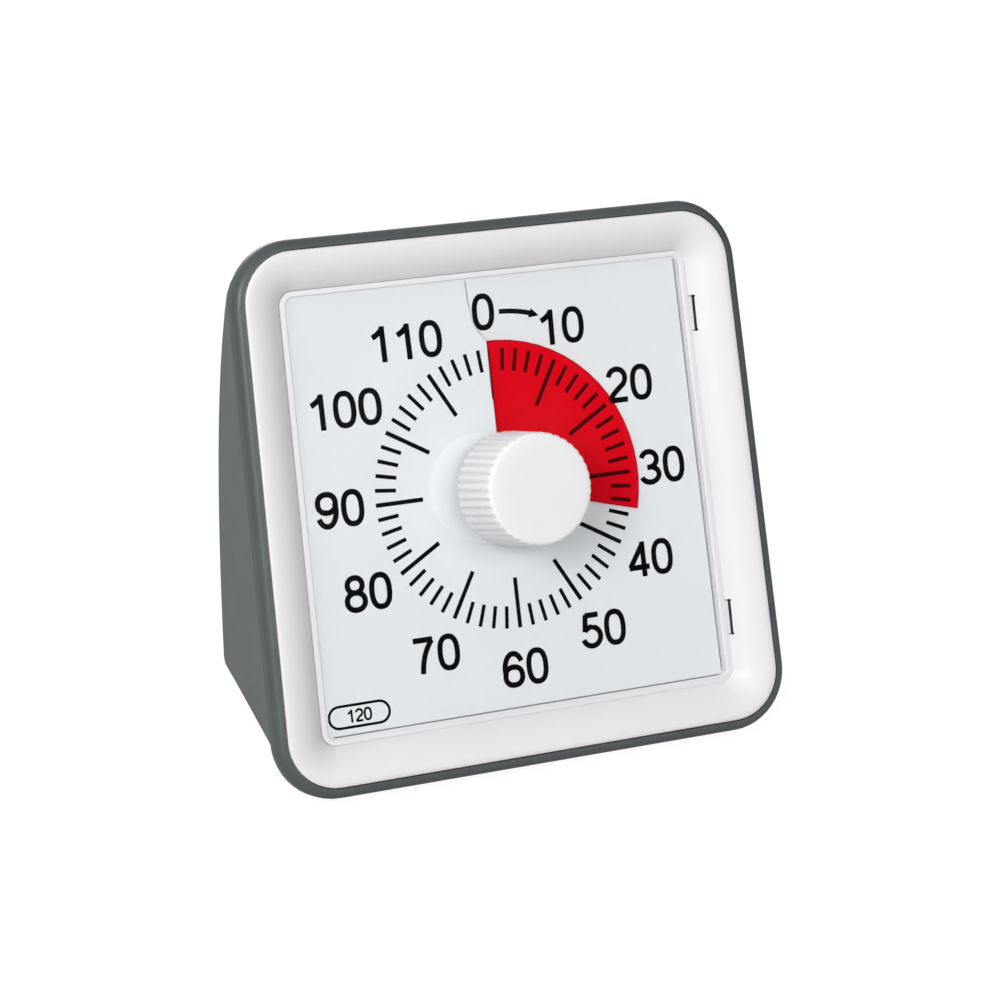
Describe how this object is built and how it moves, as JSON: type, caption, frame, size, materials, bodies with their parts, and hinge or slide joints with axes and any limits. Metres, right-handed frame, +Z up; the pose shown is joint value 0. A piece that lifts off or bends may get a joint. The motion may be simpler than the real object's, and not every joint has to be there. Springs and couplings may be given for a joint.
{
  "type": "visual countdown timer",
  "caption": "Wedge-shaped countdown timer: square leaning dial under a clear window, ribbed setting knob, and a coloured film that winds out of a slit in the dial to show the time left.",
  "frame": {"origin": "middle of the bounding box, on the table that the feet stand on", "axes": "+Z up, the dial faces -Y and leans back from it, +X to the right as seen from the front"},
  "size_m": [0.0992, 0.0654, 0.0944],
  "materials": {
    "case_grey": "fine-grained moulded plastic",
    "bezel_white": "satin moulded plastic",
    "window_clear": "clear polished plastic",
    "card_white": "printed plastic card",
    "chassis_white": "moulded plastic",
    "film_red": "see-through coloured film",
    "knob_white": "satin moulded plastic",
    "steel": "turned",
    "brass": "turned",
    "spring_steel": "pressed strip",
    "gear_white": "moulded acetal",
    "motor_steel": "drawn can",
    "movement_black": "moulded plastic",
    "contact_bronze": "spring strip",
    "board_green": "resin board",
    "black_plastic": "moulded plastic",
    "slider_black": "fine-grained moulded plastic",
    "cell_jacket": "metallised jacket",
    "contact_steel": "nickel-plated wire",
    "door_grey": "fine-grained moulded plastic",
    "screw_steel": "zinc-plated",
    "foot_rubber": "moulded"
  },
  "bodies": {
    "case": {"rear_housing": "case_grey", "front_bezel": "bezel_white", "clear_window": "window_clear", "dial_card": "card_white", "dial_plate": "chassis_white", "shaft_bush": "brass", "gear_motor": "motor_steel", "movement_front": "movement_black", "movement_rear": "movement_black", "zero_contact": "contact_bronze", "circuit_board": "board_green", "sounder": "black_plastic", "slide_switch": "black_plastic", "battery_cell": "cell_jacket", "battery_spring": "contact_steel", "battery_plate": "contact_steel", "case_screws": "screw_steel", "bezel_screws": "screw_steel", "movement_screws": "screw_steel", "board_screws": "screw_steel", "rubber_feet": "foot_rubber"},
    "knob": {"setting_knob": "knob_white", "output_shaft": "steel", "film_hub": "knob_white", "clutch_spring": "spring_steel", "shaft_clip": "spring_steel", "output_wheel": "gear_white"},
    "film": {"time_film": "film_red"},
    "third": {"third_wheel": "gear_white"},
    "drive": {"drive_pinion": "brass"},
    "door": {"battery_door": "door_grey"},
    "slider": {"alarm_slider": "slider_black"}
  },
  "joints": [
    {"name": "knob_spin", "type": "hinge", "parent": "case", "child": "knob", "pos_m": [0, -0.02014, 0.04904], "axis": [0, 0.9636, -0.2672], "range_deg": [-105, 255]},
    {"name": "film_slide", "type": "slide", "parent": "knob", "child": "film", "axis": [0, -0.9636, 0.2672], "range_m": [-0.00034, 0.00082]},
    {"name": "third_spin", "type": "hinge", "parent": "case", "child": "third", "pos_m": [-0.01875, -0.02014, 0.04904], "axis": [0, 0.9636, -0.2672], "range_deg": [-1021, 421]},
    {"name": "drive_spin", "type": "hinge", "parent": "case", "child": "drive", "pos_m": [-0.01087, -0.02379, 0.0359], "axis": [0, 0.9636, -0.2672], "range_deg": [-1345, 3265]},
    {"name": "door_tilt", "type": "hinge", "parent": "case", "child": "door", "pos_m": [0, 0.03276, 0.00856], "axis": [-1, 0, 0], "range_deg": [0, 70]},
    {"name": "slider_slide", "type": "slide", "parent": "case", "child": "slider", "axis": [-1, 0, 0], "range_m": [0, 0.004]}
  ],
  "couplings": [
    {"joint": "film_slide", "follows": "knob_spin", "m_per_rad": 0.00018303},
    {"joint": "third_spin", "follows": "knob_spin", "ratio": -4},
    {"joint": "drive_spin", "follows": "knob_spin", "ratio": 12.8}
  ]
}
